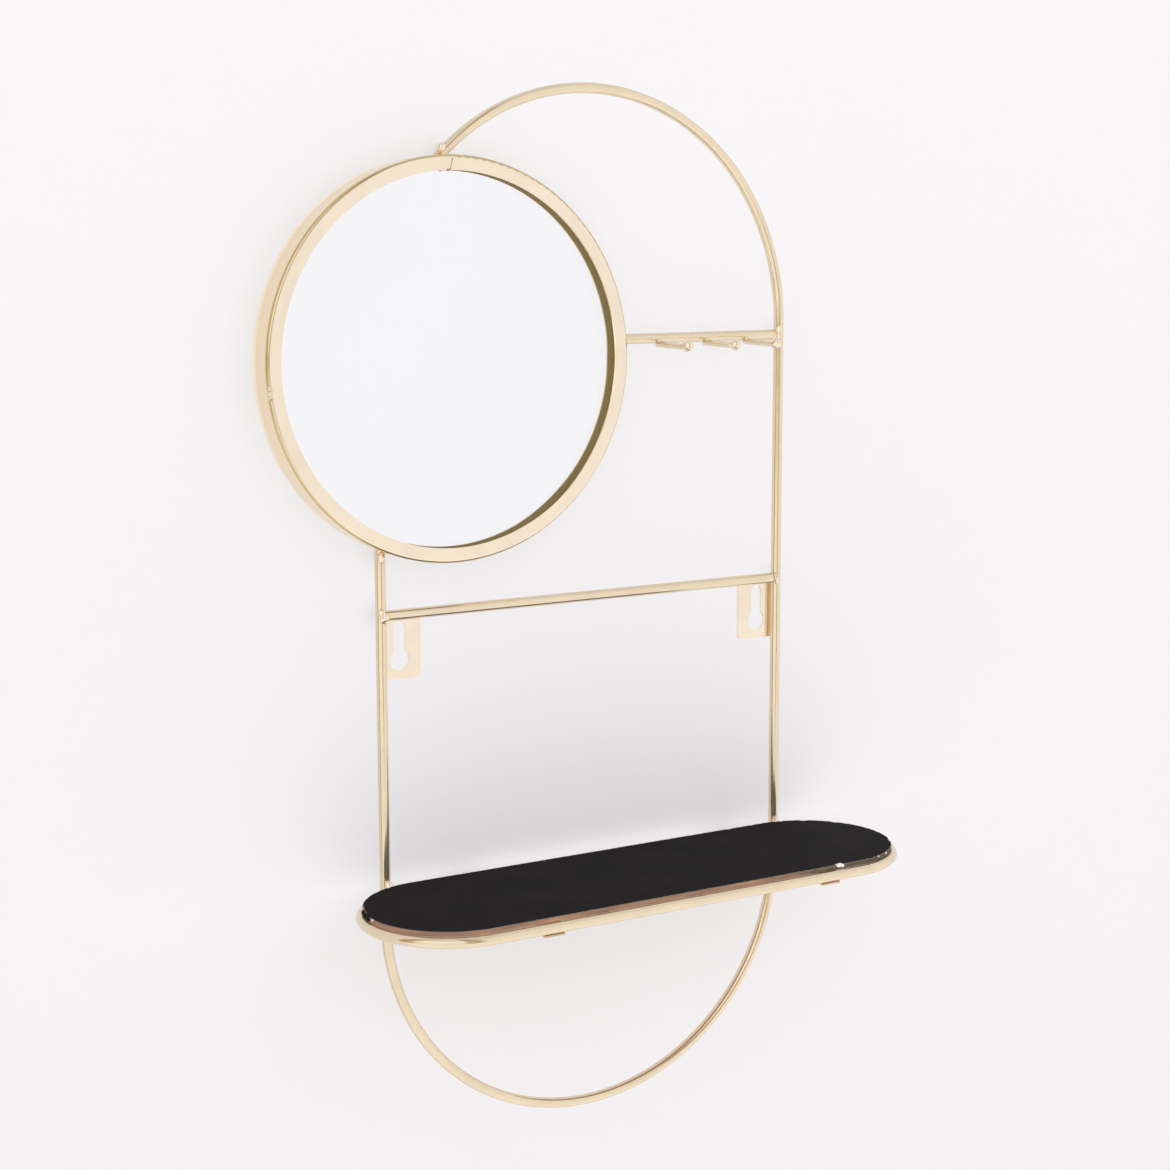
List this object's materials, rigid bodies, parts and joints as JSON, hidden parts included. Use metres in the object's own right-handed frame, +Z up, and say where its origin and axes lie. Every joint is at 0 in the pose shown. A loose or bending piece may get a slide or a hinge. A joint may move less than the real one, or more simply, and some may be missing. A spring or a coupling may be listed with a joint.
{
  "type": "wall mirror with shelf and hooks",
  "caption": "Round wall mirror on a tall wire loop with round ends, with ball-tipped hooks beside it, keyhole plates on a crossbar and a narrow round-ended shelf below.",
  "frame": {"origin": "midway between the centres of the two keyhole entry holes, on the wall plane (the back of the keyhole plates)", "axes": "+X to the right seen from the front, +Y into the wall, +Z up"},
  "size_m": [0.3111, 0.0923, 0.4969],
  "materials": {
    "gold_wire": "pale champagne-gold lacquer over steel, satin",
    "gold_sheet": "pale champagne-gold lacquer over sheet steel, satin",
    "gold_weld": "weld metal under the same lacquer, uneven",
    "clear_glass": "clear float glass",
    "silvering": "silvered back coat",
    "hardboard": "raw hardboard",
    "board_core": "fibreboard edge, brown stain",
    "black_facing": "matt black facing",
    "screw_steel": "plated steel"
  },
  "bodies": {
    "root": {"crossbar": "gold_wire", "frame_wire": "gold_wire", "hook_ball_left": "gold_wire", "hook_ball_middle": "gold_wire", "hook_ball_right": "gold_wire", "hook_bar": "gold_wire", "hook_left": "gold_wire", "hook_middle": "gold_wire", "hook_right": "gold_wire", "keyhole_plate_left": "gold_sheet", "keyhole_plate_right": "gold_sheet", "mirror_backing": "hardboard", "mirror_clips": "gold_sheet", "mirror_glass": "clear_glass", "mirror_ring": "gold_sheet", "mirror_silvering": "silvering", "shelf_board": "board_core", "shelf_facing": "black_facing", "shelf_ring": "gold_wire", "shelf_screws": "screw_steel", "shelf_tab_back_left": "gold_sheet", "shelf_tab_back_right": "gold_sheet", "shelf_tab_front_left": "gold_sheet", "shelf_tab_front_right": "gold_sheet", "weld_beads_frame": "gold_weld", "weld_beads_hooks": "gold_weld", "weld_beads_shelf": "gold_weld"}
  },
  "joints": []
}
